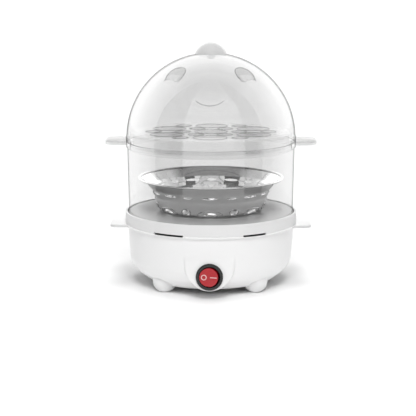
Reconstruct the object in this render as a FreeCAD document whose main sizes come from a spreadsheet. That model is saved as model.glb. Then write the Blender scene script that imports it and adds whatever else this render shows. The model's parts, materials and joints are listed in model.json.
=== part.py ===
import FreeCAD, Part
import math
import os
import re
import Sketcher

# Electric egg cooker, millimetres. +Z is up, the switch faces -Y, the lifting ears lie along X,
# and the origin is on the bench at the middle of the four ball feet.

SIZES = {
    # heights of the stacked pieces above the bench
    "total_height": 210.0,
    "plate_top": 64.0,
    "ring_top": 64.4,
    "ring_bottom": 54.3,
    "tier_top": 124.8,
    "tray_top": 133.0,
    "dome_centre": 127.8,
    # white base
    "ring_radius": 74.9,
    "ring_bore": 73.0,
    "ledge_radius": 66.0,
    "ledge_top": 58.0,
    "ledge_thick": 2.0,
    "drain_height": 1.6,
    "drain_drop": 0.8,
    "flange_radius": 75.2,
    "flange_thick": 1.3,
    "shell_radius": 73.0,
    "shell_wall": 2.0,
    "shell_floor": 4.5,
    "floor_opening": 36.0,
    "base_ear_reach": 87.2,
    "base_ear_width": 44.0,
    "base_ear_thick": 2.4,
    "pad_radius": 22.0,
    "pad_centre": 28.6,
    "pad_face": 73.3,
    "pad_wall": 2.0,
    "pad_fade": 42.0,
    # ball feet and their screws
    "foot_radius": 10.5,
    "foot_centre": 9.6,
    "foot_pitch": 38.7,
    "screw_head": 2.8,
    "screw_shank": 1.5,
    "screw_gap": 0.2,
    "cover_pitch": 42.0,
    # heating plate
    "plate_radius": 72.0,
    "plate_thick": 2.0,
    "skirt_thick": 2.0,
    "element_radius": 45.0,
    "element_tube": 3.2,
    "element_sweep": 310.0,
    "stud_pitch": 20.0,
    "clamp_pitch": 61.5,
    "fuse_forward": 24.0,
    "lead_aside": 13.6,
    "lead_radius": 1.3,
    # clear upper parts
    "clear_wall": 1.8,
    "tier_foot_radius": 71.8,
    "tier_shoulder_radius": 72.7,
    "rim_radius": 73.9,
    "rim_bore": 70.4,
    "dome_radius": 73.3,
    "upper_ear_reach": 91.35,
    "upper_ear_width": 33.0,
    "upper_ear_thick": 1.8,
    "tray_radius": 69.8,
    "tray_thick": 1.5,
    "egg_hole": 14.0,
    "egg_pitch": 42.7,
    "steam_hole": 6.5,
    "inner_steam_pitch": 24.6,
    "outer_steam_pitch": 50.0,
    # lid fittings
    "knob_sphere": 14.7,
    "knob_radius": 13.95,
    "vent_aside": 29.0,
    "vent_forward": 35.8,
    "vent_width": 17.0,
    "vent_length": 21.0,
    "vent_rise": 3.0,
    "rib_radius": 15.5,
    "rib_thick": 1.0,
    "rib_tilt": 39.8,
    "rib_sweep": 101.0,
    # stainless tray
    "steel_rim": 62.8,
    "steel_top": 93.0,
    "steel_sheet": 0.7,
    "steel_floor": 65.6,
    "seat_pitch": 46.0,
    "seat_level": 67.4,
    "seat_height": 4.4,
    "seat_width": 11.5,
    "drip_pitch": 46.8,
    "drip_level": 69.2,
    "drip_radius": 3.0,
    "slot_pitch": 52.5,
    "slot_height": 2.0,
    "long_slot": 13.0,
    "short_slot": 8.5,
    "crease_height": 82.6,
    # rocker switch
    "switch_height": 20.5,
    "bezel_radius": 11.35,
    "bezel_thick": 2.4,
    "barrel_radius": 9.9,
    "rocker_radius": 7.8,
    "rocker_hole": 8.7,
    "seat_plane": 72.4,
    "pivot_plane": 71.0,
    "rocker_rest_tilt": 8.0,
    # cable gland
    "gland_height": 32.0,
    "gland_end": 77.1,
    "gland_seat": 70.6,
    "gland_bore": 3.3,
    "gland_neck": 5.0,
}

document = FreeCAD.newDocument("egg_cooker")
sheet = document.addObject("Spreadsheet::Sheet", "dims")
for row, (alias, size) in enumerate(SIZES.items(), start=1):
    sheet.set(f"A{row}", alias.replace("_", " "))
    sheet.set(f"B{row}", str(size))
    sheet.setAlias(f"B{row}", alias)
document.recompute()

ORIGIN_POINT = (-1, 1)
VERTICAL_AXIS = -2
nodes = []


def linked(expression):
    """The expression with each alias read from the sheet; function names stay as they are."""
    return re.sub(r"\b[a-z][a-z_0-9]+\b(?!\()", r"dims.\g<0>", str(expression))


def number(expression):
    return float(sheet.evalExpression(linked(expression)))


def node(item, label):
    """Names a finished sub-part; the label is also the name of its file."""
    item.Label = label
    nodes.append(item)
    return item


def place(item, x="0", y="0", z="0", axis=(0, 0, 1), angle=0.0):
    """Sets the turn of an object and binds its position to the sheet."""
    item.Placement = FreeCAD.Placement(FreeCAD.Vector(), FreeCAD.Rotation(FreeCAD.Vector(*axis), angle))
    for letter, expression in zip("xyz", (x, y, z)):
        item.setExpression(f"Placement.Base.{letter}", linked(expression))
    return item


# Part primitives and booleans ---------------------------------------------------------------

def primitive(kind, name, sizes, **where):
    item = document.addObject(f"Part::{kind}", name)
    for size, expression in sizes.items():
        item.setExpression(size, linked(expression))
    return place(item, **where)


def cylinder(name, radius, height, **where):
    return primitive("Cylinder", name, {"Radius": radius, "Height": height}, **where)


def sphere(name, radius, **where):
    return primitive("Sphere", name, {"Radius": radius}, **where)


def box(name, length, width, height, **where):
    return primitive("Box", name, {"Length": length, "Width": width, "Height": height}, **where)


def fuse(name, items):
    joined = document.addObject("Part::MultiFuse", name)
    joined.Shapes = items
    return joined


def common(name, items):
    shared = document.addObject("Part::MultiCommon", name)
    shared.Shapes = items
    return shared


def cut(name, base, tools):
    """Takes every tool away from the base."""
    result = document.addObject("Part::Cut", name)
    result.Base = base
    result.Tool = tools[0] if len(tools) == 1 else fuse(name + "_tools", tools)
    return result


def group(name, items):
    """Separate solids kept together in one node, such as a set of equal screws."""
    gathered = document.addObject("Part::Compound", name)
    gathered.Links = items
    return gathered


# PartDesign bodies --------------------------------------------------------------------------

def origin_item(body, role):
    return next(item for item in body.Origin.OriginFeatures if item.Role == role)


def arc_between(start, end, radius, side):
    """Minor arc from start to end; side 1 puts its centre on the left of the way, -1 on the right."""
    chord = end - start
    half = chord.Length / 2
    left = FreeCAD.Vector(-chord.y, chord.x, 0).normalize()
    centre = (start + end) / 2 + left * side * math.sqrt(max(radius**2 - half**2, 0.0))
    outward = (start + end) / 2 - centre
    if outward.Length < 1e-9:
        outward = left * -side
    return Part.Arc(start, centre + outward.normalize() * radius, end)


def outline_sketch(body, name, role, outline, lift="0"):
    """Closed outline in an origin plane. Each corner is (across, up), both bound to the sheet,
    and a corner (across, up, radius, side) is reached by an arc from the one before."""
    sketch = body.newObject("Sketcher::SketchObject", name)
    sketch.AttachmentSupport = [(origin_item(body, role), "")]
    sketch.MapMode = "FlatFace"
    sketch.setExpression("AttachmentOffset.Base.z", linked(lift))
    points = [FreeCAD.Vector(number(corner[0]), number(corner[1]), 0) for corner in outline]
    ends = []
    for index, corner in enumerate(outline):
        start, end = points[index - 1], points[index]
        if len(corner) == 2:
            sketch.addGeometry(Part.LineSegment(start, end))
            ends.append((1, 2))
            continue
        sketch.addGeometry(arc_between(start, end, number(corner[2]), corner[3]))
        forward = (sketch.getPoint(index, 1) - start).Length < (sketch.getPoint(index, 2) - start).Length
        ends.append((1, 2) if forward else (2, 1))
    for index, corner in enumerate(outline):
        following = (index + 1) % len(outline)
        sketch.addConstraint(Sketcher.Constraint("Coincident", index, ends[index][1],
                                                 following, ends[following][0]))
        for kind, expression, value in (("DistanceX", corner[0], points[index].x),
                                        ("DistanceY", corner[1], points[index].y)):
            if kind == "DistanceX" and str(expression) == "0":
                sketch.addConstraint(Sketcher.Constraint("PointOnObject", index, ends[index][1],
                                                         VERTICAL_AXIS))
                continue
            bound = sketch.addConstraint(Sketcher.Constraint(kind, *ORIGIN_POINT, index,
                                                             ends[index][1], value))
            sketch.setExpression(f"Constraints[{bound}]", linked(expression))
        if len(corner) == 4:
            bound = sketch.addConstraint(Sketcher.Constraint("Radius", index, number(corner[2])))
            sketch.setExpression(f"Constraints[{bound}]", linked(corner[2]))
    return sketch


def turned(name, outline):
    """Solid of revolution about Z from a closed outline of (radius, height) corners."""
    body = document.addObject("PartDesign::Body", name)
    turning = body.newObject("PartDesign::Revolution", name + "_turning")
    turning.Profile = outline_sketch(body, name + "_section", "XZ_Plane", outline)
    turning.ReferenceAxis = (turning.Profile[0], ["V_Axis"])
    turning.Angle = 360
    body.Tip = turning
    return body


def padded(name, outline, thick, lift="0", role="XY_Plane"):
    """Flat plate: an outline padded away from an origin plane."""
    body = document.addObject("PartDesign::Body", name)
    pad = body.newObject("PartDesign::Pad", name + "_pad")
    pad.Profile = outline_sketch(body, name + "_plan", role, outline, lift)
    pad.setExpression("Length", linked(thick))
    body.Tip = pad
    return body


def polar(radius, degrees):
    """Expressions for the X and Y of a point at a radius and an angle from +X."""
    return {"x": f"{radius} * cos({degrees})", "y": f"{radius} * sin({degrees})"}


def radial_box(name, start, length, width, height, angle, z):
    """Box that runs outwards from a radius, centred on a line at an angle from +X."""
    return box(name, length, width, height, z=z, angle=angle,
               x=f"{start} * cos({angle}) + {width} / 2 * sin({angle})",
               y=f"{start} * sin({angle}) - {width} / 2 * cos({angle})")


def ring_of(name, count, pitch, make, first=0.0):
    """The same tool repeated around Z; make(name, **where) builds one."""
    step = 360.0 / count
    return [make(f"{name}_{turn + 1}", **polar(pitch, first + turn * step)) for turn in range(count)]


# White base ---------------------------------------------------------------------------------

CORNERS = [(1, 1), (-1, 1), (-1, -1), (1, -1)]
FOOT_NAMES = ["foot_back_right", "foot_back_left", "foot_front_left", "foot_front_right"]
COVER_START = 30
DRAIN_ANGLES = {"left": (-128.5, -107.0), "right": (-68.0, -51.0)}
CLAMP_ANGLES = {"rear": 90, "left": 210, "right": 330}

# outside of the bowl, from the flange down to the flat floor
BOWL_TURN = (("70.85", "25.7"), ("64.9", "13.1", "19.4", -1), ("57.9", "7.6"),
             ("48.95", "shell_floor", "14.5", -1))


def foot_place(corner):
    return {"x": f"foot_pitch * {corner[0]}", "y": f"foot_pitch * {corner[1]}"}


def bowl_outside(name):
    return turned(name, [("0", "ring_bottom"), ("shell_radius", "ring_bottom"), *BOWL_TURN,
                         ("0", "shell_floor")])


def bowl():
    """Bowl wall with its flange; the floor is open for the bottom cover."""
    wall = "shell_wall"
    return turned("bowl", [
        ("flange_radius", "ring_bottom"),
        ("flange_radius", "ring_bottom - flange_thick"),
        ("shell_radius", "ring_bottom - flange_thick"),
        *BOWL_TURN,
        ("floor_opening", "shell_floor"),
        ("floor_opening", f"shell_floor + {wall}"),
        ("48.2", f"shell_floor + {wall}"),
        ("56.6", "9.3", "12.5", 1),
        ("63.2", "14.4"),
        (f"70.85 - {wall}", "26.2", "17.4", 1),
        (f"shell_radius - {wall}", "ring_bottom"),
    ])


def ear_plan(reach, width, root, corner="6"):
    """Plan of a pair of flat ears in one strip across the X axis, with rounded outer corners."""
    half = f"{width} / 2"
    return [
        (f"{reach} - {corner}", f"{half}", corner, 1),
        (f"{root}", f"{half}"),
        (f"{root}", f"-{half}"),
        (f"{reach} - {corner}", f"-{half}"),
        (f"{reach}", f"{corner} - {half}", corner, 1),
        (f"{reach}", f"{half} - {corner}"),
    ]


def ear_pair(name, reach, width, thick, lift, root, corner="6"):
    """Two ears: one plate padded on the right and its half-turn copy on the left."""
    ears = []
    for side, angle in (("right", 0), ("left", 180)):
        ear = padded(f"{name}_{side}", ear_plan(reach, width, root, corner), thick, lift)
        ears.append(place(ear, angle=angle))
    return ears


def u_prism(name, radius, back, front, top):
    """Upright tongue with a half-round lower end, from the plane y=-back to y=-front."""
    return padded(name, [("0", f"pad_centre - ({radius})", radius, 1), (radius, "pad_centre", radius, 1),
                         (radius, top), (f"-({radius})", top), (f"-({radius})", "pad_centre")],
                  f"{front} - {back}", back, "XZ_Plane")


def pad_barrel(name, radius):
    """Round envelope of the switch pad, upright below and leaning back into the bowl above."""
    return turned(name, [("0", "0"), (radius, "0"), (radius, "pad_centre"), (f"{radius} - 1.9", "pad_fade"),
                         ("0", "pad_fade")])


def cover_boss(name, **at):
    return cylinder(name, "3.5", "6.5", z="5", **at)


def cover_bore(name, **at):
    return cylinder(name, "1.15", "10", z="2", **at)


def cover_hole(name, **at):
    return cylinder(name, "1.7", "9", **at)


def cover_screw(name, **at):
    return screw(name, "2.6", "1.1", "1.5", "9.5", z="shell_floor - 2.7", **at)


def lower_shell():
    inner = "pad_radius - pad_wall"
    pad_outside = common("pad_outside", [
        u_prism("pad_outer", "pad_radius", "48", "76", "pad_fade"),
        pad_barrel("pad_barrel", "pad_face"),
    ])
    bowl_hollow = turned("bowl_hollow", [("0", "60"), ("shell_radius - shell_wall", "60"),
                                         ("shell_radius - shell_wall", "ring_bottom"),
                                         ("70.85 - shell_wall", "26.2"), ("63.2", "14.4", "17.4", -1),
                                         ("56.6", "9.3"), ("48.2", "shell_floor + shell_wall", "12.5", -1),
                                         ("0", "shell_floor + shell_wall")])
    pad_hollow = common("pad_hollow", [
        u_prism("pad_inner", inner, "54", "76", "pad_fade"),
        pad_barrel("pad_inner_barrel", "pad_face - pad_wall"),
    ])
    bosses = [cylinder(f"shell_boss_{index}", "4.5", "24", z="6", **foot_place(corner))
              for index, corner in enumerate(CORNERS)]
    bosses += ring_of("cover_boss", 3, "cover_pitch", cover_boss, COVER_START)
    bosses = common("shell_bosses", [fuse("boss_blanks", bosses), bowl_outside("boss_limit")])
    ears = ear_pair("base_ear", "base_ear_reach", "base_ear_width", "base_ear_thick",
                    "ring_bottom - base_ear_thick", "shell_radius - 1")
    body = fuse("shell_body", [bowl(), cut("pad_shell", pad_outside, [bowl_hollow]), *ears, bosses])
    tools = [pad_hollow]
    tools += [cylinder(f"boss_bore_{index}", "screw_shank + screw_gap", "40", **foot_place(corner))
              for index, corner in enumerate(CORNERS)]
    tools += [cylinder(f"foot_socket_{index}", "3.2", "5.5", z="3", **foot_place(corner))
              for index, corner in enumerate(CORNERS)]
    tools += ring_of("cover_bore", 3, "cover_pitch", cover_bore, COVER_START)
    tools.append(cylinder("switch_hole", "barrel_radius + 0.3", "30", y="-50", z="switch_height",
                          axis=(1, 0, 0), angle=90))
    tools.append(cylinder("switch_seat", "bezel_radius + 0.5", "8", y="-seat_plane", z="switch_height",
                          axis=(1, 0, 0), angle=90))
    tools.append(cylinder("gland_hole", "gland_neck + 0.1", "30", y="80", z="gland_height",
                          axis=(1, 0, 0), angle=90))
    tools.append(box("gland_seat", "16", "12", "16", x="-8", y="gland_seat", z="gland_height - 8"))
    tools += drain_slots("shell")
    tools.append(cylinder("cover_rebate", "floor_opening + 9.5", "2", z="shell_floor - 1.1"))
    node(cut("lower_shell_cut", body, tools), "lower_shell")


def bottom_cover():
    disc = turned("cover_disc", [("0", "shell_floor - 1.2"), ("floor_opening + 9", "shell_floor - 1.2"),
                                 ("floor_opening + 9", "shell_floor + 0.9"),
                                 ("floor_opening - 1", "shell_floor + 0.9"),
                                 ("floor_opening - 1", "shell_floor + 2.4"),
                                 ("floor_opening - 3", "shell_floor + 2.4"),
                                 ("floor_opening - 3", "shell_floor + 0.9"), ("0", "shell_floor + 0.9")])
    tools = ring_of("cover_hole", 3, "cover_pitch", cover_hole, COVER_START)
    for index in range(7):
        half_length = math.sqrt(24.0**2 - (7.0 * (index - 3))**2)
        tools.append(box(f"cover_slot_{index}", str(2 * half_length), "2.4", "6",
                         x=str(-half_length), y=f"{7 * (index - 3)} - 1.2", z="2"))
    node(cut("bottom_cover_cut", disc, tools), "bottom_cover")


def upper_ring():
    """Band that carries the heating plate on an inner ledge and stands on four posts."""
    band = turned("ring_band", [
        ("ring_bore", "ledge_top"),
        ("ring_bore", "ring_top - 0.5"),
        ("ring_bore + 0.5", "ring_top", "0.5", -1),
        ("ring_radius - 0.6", "ring_top"),
        ("ring_radius", "ring_top - 0.6", "0.6", -1),
        ("ring_radius", "ring_bottom"),
        ("shell_radius - shell_wall + 0.4", "ring_bottom"),
        ("shell_radius - shell_wall + 0.4", "ledge_top - ledge_thick"),
        ("ledge_radius", "ledge_top - ledge_thick"),
        ("ledge_radius", "ledge_top"),
    ])
    parts = [band]
    for index, corner in enumerate(CORNERS):
        angle = math.degrees(math.atan2(corner[1], corner[0]))
        parts.append(cylinder(f"ring_post_{index}", "4.5", "27.3", z="30", **foot_place(corner)))
        parts.append(radial_box(f"ring_web_{index}", "54.7", "13.9", "2.4", "12.3", angle, "45"))
    tools = [cylinder(f"post_bore_{index}", "screw_shank + 0.05", "24", z="29", **foot_place(corner))
             for index, corner in enumerate(CORNERS)]
    tools += drain_slots("ring")
    node(cut("upper_ring_cut", fuse("ring_body", parts), tools), "upper_ring")


def drain_slots(name):
    """Low windows at the seam between the band and the bowl, left and right of the switch."""
    slots = []
    for side, (first, last) in DRAIN_ANGLES.items():
        slot = document.addObject("Part::Cylinder", f"{name}_drain_{side}_sector")
        slot.setExpression("Radius", linked("ring_radius + 2"))
        slot.setExpression("Height", linked("drain_height"))
        slot.Angle = last - first
        place(slot, z="ring_bottom - drain_drop", angle=first)
        core = cylinder(f"{name}_drain_{side}_core", "shell_radius - shell_wall - 0.5", "6",
                        z="ring_bottom - 2")
        slots.append(cut(f"{name}_drain_{side}", slot, [core]))
    return slots


def feet():
    """Ball feet moulded to the bowl, each with a plug in the floor and a recessed screw."""
    for name, corner in zip(FOOT_NAMES, CORNERS):
        at = foot_place(corner)
        ball = sphere(name + "_ball", "foot_radius", z="foot_centre", **at)
        plug = cylinder(name + "_plug", "3", "5", z="3", **at)
        outside = cut(name + "_trim", ball, [bowl_outside(name + "_bowl")])
        tools = [
            cylinder(name + "_flat", "foot_radius", "2", z="-2", **at),
            cylinder(name + "_recess", "screw_head + 0.2", "4.2", z="-0.5", **at),
            cylinder(name + "_bore", "screw_shank + screw_gap", "14", **at),
        ]
        node(cut(name + "_cut", fuse(name + "_body", [outside, plug]), tools), name)


def screw(name, head, shank, head_thick, length, z="0", turn=0, **at):
    """Pan-head screw, head down, with its shank upwards from z; turn 180 points it down."""
    cap = turned(name + "_head", [("0", "0"), (f"{head} - 0.5", "0"), (head, "0.5", "0.5", 1),
                                  (head, head_thick), (shank, head_thick),
                                  (shank, f"{length} - 0.6"), (f"{shank} - 0.6", length), ("0", length)])
    cross = [box(f"{name}_cross_{index}", f"1.2 * {head}", "0.7", "0.9",
                 x=f"-0.6 * {head}" if index == 0 else "0.35",
                 y="-0.35" if index == 0 else f"-0.6 * {head}", z="-0.01", angle=90 * index)
             for index in range(2)]
    whole = cut(name, cap, cross)
    return place(whole, z=z, axis=(1, 0, 0), angle=turn, **at)


def base_screws():
    screws = [screw(f"base_screw_{index}", "screw_head", "screw_shank", "2.2", "36", z="1.5",
                    **foot_place(corner)) for index, corner in enumerate(CORNERS)]
    node(group("base_screw_set", screws), "base_screws")
    covers = ring_of("cover_screw", 3, "cover_pitch", cover_screw, COVER_START)
    node(group("cover_screw_set", covers), "cover_screws")


# Heating plate and what is fixed to it ------------------------------------------------------

def heating_plate():
    under = "plate_top - plate_thick"
    dish = turned("plate_dish", [
        ("0", under), ("plate_radius - skirt_thick", under),
        ("plate_radius - skirt_thick", "ledge_top + 0.6"), ("plate_radius", "ledge_top + 0.6"),
        ("plate_radius", "plate_top - 0.8"), ("plate_radius - 0.8", "plate_top", "0.8", 1), ("0", "plate_top"),
    ])
    parts = [dish]
    for index, side in enumerate((1, -1)):
        parts.append(cylinder(f"bracket_stud_{index}", "1.5", "11", x=f"stud_pitch * {side}", z="51.5"))
    for name, angle in CLAMP_ANGLES.items():
        parts.append(cylinder(f"clamp_post_{name}", "3.5", "7.5", z="55", **polar("clamp_pitch", angle)))
    bores = [cylinder(f"clamp_bore_{name}", "1.25", "6", z="54", **polar("clamp_pitch", angle))
             for name, angle in CLAMP_ANGLES.items()]
    node(cut("heating_plate_cut", fuse("plate_body", parts), bores), "heating_plate")


def plate_gasket():
    """Dark silicone ring between the skirt of the plate and the band."""
    node(turned("gasket_ring", [
        ("ledge_radius + 2", "ledge_top"), ("ring_bore", "ledge_top"), ("ring_bore", "ring_top - 0.7"),
        ("plate_radius", "ring_top - 0.7"), ("plate_radius", "ledge_top + 0.6"),
        ("ledge_radius + 2", "ledge_top + 0.6"),
    ]), "plate_gasket")


def insulator_ring():
    node(turned("insulator_band", [("69", "46"), ("70", "46"), ("70", "ledge_top - ledge_thick"),
                                   ("69", "ledge_top - ledge_thick")]), "insulator_ring")


def plate_clamps():
    screws = []
    for name, angle in CLAMP_ANGLES.items():
        strap = box(f"clamp_{name}_strap", "12", "10", "1.4", x="-5.2", y="-5", z="-1.4")
        toe = box(f"clamp_{name}_toe", "2.3", "10", "1.5", x="4.5", y="-5", z="-0.5")
        hole = cylinder(f"clamp_{name}_hole", "1.6", "6", z="-3")
        clamp = cut(f"clamp_{name}", fuse(f"clamp_{name}_body", [strap, toe]), [hole])
        place(clamp, z="55", angle=angle, **polar("clamp_pitch", angle))
        node(clamp, f"plate_clamp_{name}")
        screws.append(screw(f"clamp_screw_{name}", "2.6", "1.2", "1.6", "7", z="55 - 1.4 - 1.6",
                            **polar("clamp_pitch", angle)))
    node(group("clamp_screw_set", screws), "clamp_screws")


def heating_element():
    """Tubular element under the plate; its two tails turn down and end in pins."""
    coil = document.addObject("Part::Torus", "element_coil")
    for size, expression in (("Radius1", "element_radius"), ("Radius2", "element_tube"),
                             ("Angle3", "element_sweep")):
        coil.setExpression(size, linked(expression))
    height = "plate_top - plate_thick - element_tube - 0.05"
    place(coil, z=height, angle=115)
    tails, caps, pins = [], [], []
    for name, angle in (("live", 115), ("neutral", 65)):
        at = polar("element_radius", angle)
        tails.append(sphere(f"tail_{name}_bend", "element_tube", z=height, **at))
        tails.append(cylinder(f"tail_{name}", "element_tube", "10", z="plate_top - 15.25", **at))
        caps.append(cylinder(f"bush_{name}", "element_tube", "3", z="plate_top - 18.25", **at))
        pins.append(cylinder(f"pin_{name}", "1.2", "8", z="plate_top - 26.25", **at))
    node(fuse("element_body", [coil, *tails]), "heating_element")
    node(group("element_bush_set", caps), "element_bushes")
    node(group("element_pin_set", pins), "element_pins")


def thermostat():
    node(fuse("thermostat_body", [
        cylinder("thermostat_cap", "8", "2.5", z="plate_top - plate_thick - 2.5"),
        cylinder("thermostat_housing", "7", "4.5", z="plate_top - plate_thick - 7"),
        box("thermostat_blade_one", "6.3", "0.8", "9", x="-8.5", y="-0.4", z="46"),
        box("thermostat_blade_two", "6.3", "0.8", "9", x="2.2", y="-0.4", z="46"),
    ]), "thermostat")
    strap = box("bracket_strap", "50", "9", "1.2", x="-25", y="-4.5", z="53.7")
    window = box("bracket_window", "18", "3", "4", x="-9", y="-1.5", z="52")
    holes = [cylinder(f"bracket_hole_{index}", "1.8", "4", x=f"stud_pitch * {side}", z="52")
             for index, side in enumerate((1, -1))]
    node(cut("bracket_cut", strap, [window, *holes]), "thermostat_bracket")
    nuts = []
    for index, side in enumerate((1, -1)):
        nut = document.addObject("Part::Prism", f"bracket_nut_{index}_blank")
        nut.Polygon = 6
        nut.Circumradius = 3.2
        nut.Height = 2.2
        place(nut, x=f"stud_pitch * {side}", z="51.5")
        bore = cylinder(f"bracket_nut_{index}_bore", "1.5", "4", x=f"stud_pitch * {side}", z="51")
        nuts.append(cut(f"bracket_nut_{index}", nut, [bore]))
    node(group("bracket_nut_set", nuts), "bracket_nuts")


def thermal_fuse():
    fuse_y, fuse_z = "-fuse_forward", "plate_top - plate_thick - 2.6"
    link = fuse("fuse_link", [
        cylinder("fuse_can", "2", "11", x="-5.5", y=fuse_y, z=fuse_z, axis=(0, 1, 0), angle=90),
        cylinder("fuse_wire", "0.6", "26", x="-13", y=fuse_y, z=fuse_z, axis=(0, 1, 0), angle=90),
    ])
    node(link, "thermal_fuse")
    sleeve = cylinder("sleeve_tube", "2.5", "17", x="-8.5", y=fuse_y, z=fuse_z, axis=(0, 1, 0), angle=90)
    bore = cylinder("sleeve_bore", "2", "19", x="-9.5", y=fuse_y, z=fuse_z, axis=(0, 1, 0), angle=90)
    node(cut("sleeve_cut", sleeve, [bore]), "fuse_sleeve")


def heat_shield():
    """Shallow steel dish under the plate, pierced for the element tails and the blades."""
    dish = turned("shield_dish", [("0", "49"), ("47", "49"), ("49.4", "52", "4.5", 1), ("49.4", "54.5"),
                                  ("48.8", "54.5"), ("48.8", "52.2"), ("46.8", "49.6", "3.8", -1),
                                  ("0", "49.6")])
    holes = [cylinder(f"shield_tail_{index}", "4", "8", z="46", **polar("element_radius", angle))
             for index, angle in enumerate((115, 65))]
    holes += [cylinder(f"shield_lead_{index}", "2.2", "8", x=f"lead_aside * {side}", y="-fuse_forward",
                       z="46") for index, side in enumerate((1, -1))]
    holes.append(box("shield_window", "24", "8", "8", x="-12", y="-4", z="46"))
    node(cut("shield_cut", dish, holes), "heat_shield")
    spacers = []
    for index, side in enumerate((1, -1)):
        tube = cylinder(f"spacer_{index}_tube", "3", "1.9", x=f"stud_pitch * {side}", z="49.6")
        spacers.append(tube)
    node(group("spacer_set", spacers), "shield_spacers")


# Wiring inside the base ---------------------------------------------------------------------

def lead(name, points):
    """Insulated wire: straight runs joined by tangent arcs, as wide as the runs allow."""
    way = [FreeCAD.Vector(*point) for point in points]
    edges = []
    start = way[0]
    for before, here, after in zip(way, way[1:], way[2:]):
        back, ahead = (before - here), (after - here)
        turn = math.pi - back.getAngle(ahead)
        trim = 0.45 * min(back.Length, ahead.Length)
        arc_start = here + back.normalize() * trim
        arc_end = here + ahead.normalize() * trim
        bend = trim / math.tan(turn / 2)
        middle = here + (back + ahead).normalize() * (bend / math.cos(turn / 2) - bend)
        edges.append(Part.LineSegment(start, arc_start).toShape())
        edges.append(Part.Arc(arc_start, middle, arc_end).toShape())
        start = arc_end
    edges.append(Part.LineSegment(start, way[-1]).toShape())
    route = Part.Wire(edges)
    heading = (way[1] - way[0])
    section = Part.Wire([Part.Circle(way[0], heading, number("lead_radius")).toShape()])
    item = document.addObject("Part::Feature", name + "_run")
    item.Shape = route.makePipeShell([section], True, False)
    node(item, name)


def leads():
    fuse_end = [number("lead_aside"), -number("fuse_forward")]
    blade = number("switch_height")
    lead("live_lead", [(-6, 41.5, 21.3), (-6, 41.5, 28), (-20, 25, 32), (-30, 0, 32), (-24, -26, 27),
                       (-10, -38, 21.5), (-5, -44, blade), (-5, -50.5, blade)])
    lead("switched_lead", [(5, -50.5, blade), (5, -44, blade), (14, -36, 25), (14, -28, 34),
                           (*fuse_end, 44), (*fuse_end, 58.7)])
    lead("thermostat_lead", [(-fuse_end[0], fuse_end[1], 58.7), (-fuse_end[0], fuse_end[1], 44),
                             (-13, -12, 38), (-8, -3, 37), (-5.4, 0, 40.5), (-5.4, 0, 45.9)])
    lead("element_lead", [(5.4, 0, 45.9), (5.4, 0, 39), (2, 14, 35), (-8, 28, 33), (-19, 40.8, 32),
                          (-19, 40.8, 37.6)])
    lead("neutral_lead", [(6, 41.5, 21.3), (6, 41.5, 27), (12, 42.5, 31), (19, 40.8, 32),
                          (19, 40.8, 37.6)])


def terminal_block():
    body = box("block_body", "30", "11", "12", x="-15", y="36", z="9.3")
    pads = [cylinder(f"block_foot_{index}", "2.5", "2.9", x=x, y="41.5", z="shell_floor + shell_wall")
            for index, x in enumerate(("-12", "12"))]
    ways = [cylinder(f"block_way_{index}", "1.9", "20", x=x, y="52", z="14.5", axis=(1, 0, 0), angle=90)
            for index, x in enumerate(("-6", "6"))]
    node(cut("block_cut", fuse("block_whole", [body, *pads]), ways), "terminal_block")


# Rocker switch ------------------------------------------------------------------------------

def along_front(item, label):
    """Puts a piece that was turned about Z on the switch axis, facing -Y."""
    place(item, z="switch_height", axis=(1, 0, 0), angle=90)
    return node(item, label)


def switch():
    housing = turned("switch_bezel_turned", [
        ("rocker_hole", "62"), ("rocker_hole", "seat_plane + bezel_thick - 0.5"),
        ("rocker_hole + 0.5", "seat_plane + bezel_thick", "0.5", -1),
        ("bezel_radius - 0.9", "seat_plane + bezel_thick"),
        ("bezel_radius", "seat_plane + bezel_thick - 0.9", "0.9", -1),
        ("bezel_radius", "seat_plane"), ("barrel_radius", "seat_plane"), ("barrel_radius", "58"),
        ("0", "58"), ("0", "62"),
    ])
    pivots = cylinder("pivot_hole", "1.08", "19", y="-9.5", z="pivot_plane", axis=(1, 0, 0), angle=-90)
    along_front(cut("switch_bezel_cut", housing, [pivots]), "switch_bezel")
    blades = [box(f"switch_blade_{index}", "4.8", "0.8", "7.5", x=f"{x} - 2.4", y="-0.4", z="50.5")
              for index, x in enumerate(("-5", "5"))]
    blades.append(box("switch_blade_lamp", "0.8", "4.8", "7.5", x="-0.4", y="2.6", z="50.5"))
    along_front(group("switch_blade_set", blades), "switch_terminals")
    lamp = cylinder("lamp_tube", "1.6", "7", y="-3.5", z="64.1", axis=(1, 0, 0), angle=-90)
    along_front(group("switch_lamp_set", [lamp]), "switch_lamp")


def rocker():
    """Lens that tips about an upright pin: a disc whose face is folded along its middle."""
    blank = cylinder("rocker_blank", "rocker_radius", "10", z="67.2")
    face = padded("rocker_face_plan", [("-9", "66"), ("-9", "pivot_plane + 5.1"), ("0", "pivot_plane + 3.9"),
                                       ("9", "pivot_plane + 5.1"), ("9", "66")], "24", "-12", "XZ_Plane")
    lens = common("rocker_lens", [blank, face])
    pin = cylinder("rocker_pin", "1.0", "18.4", y="-9.2", z="pivot_plane", axis=(1, 0, 0), angle=-90)
    tilt = fuse("rocker_whole", [lens, pin])
    angle = number("rocker_rest_tilt")
    upright = FreeCAD.Placement(FreeCAD.Vector(0, 0, number("switch_height")),
                                FreeCAD.Rotation(FreeCAD.Vector(1, 0, 0), 90))
    pin_point = FreeCAD.Vector(0, -number("pivot_plane"), 0)
    tip = FreeCAD.Placement(FreeCAD.Vector(), FreeCAD.Rotation(FreeCAD.Vector(0, 0, 1), -angle), pin_point)
    tilt.Placement = tip.multiply(upright)
    node(tilt, "switch_rocker")


# Cable inlet --------------------------------------------------------------------------------

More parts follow.
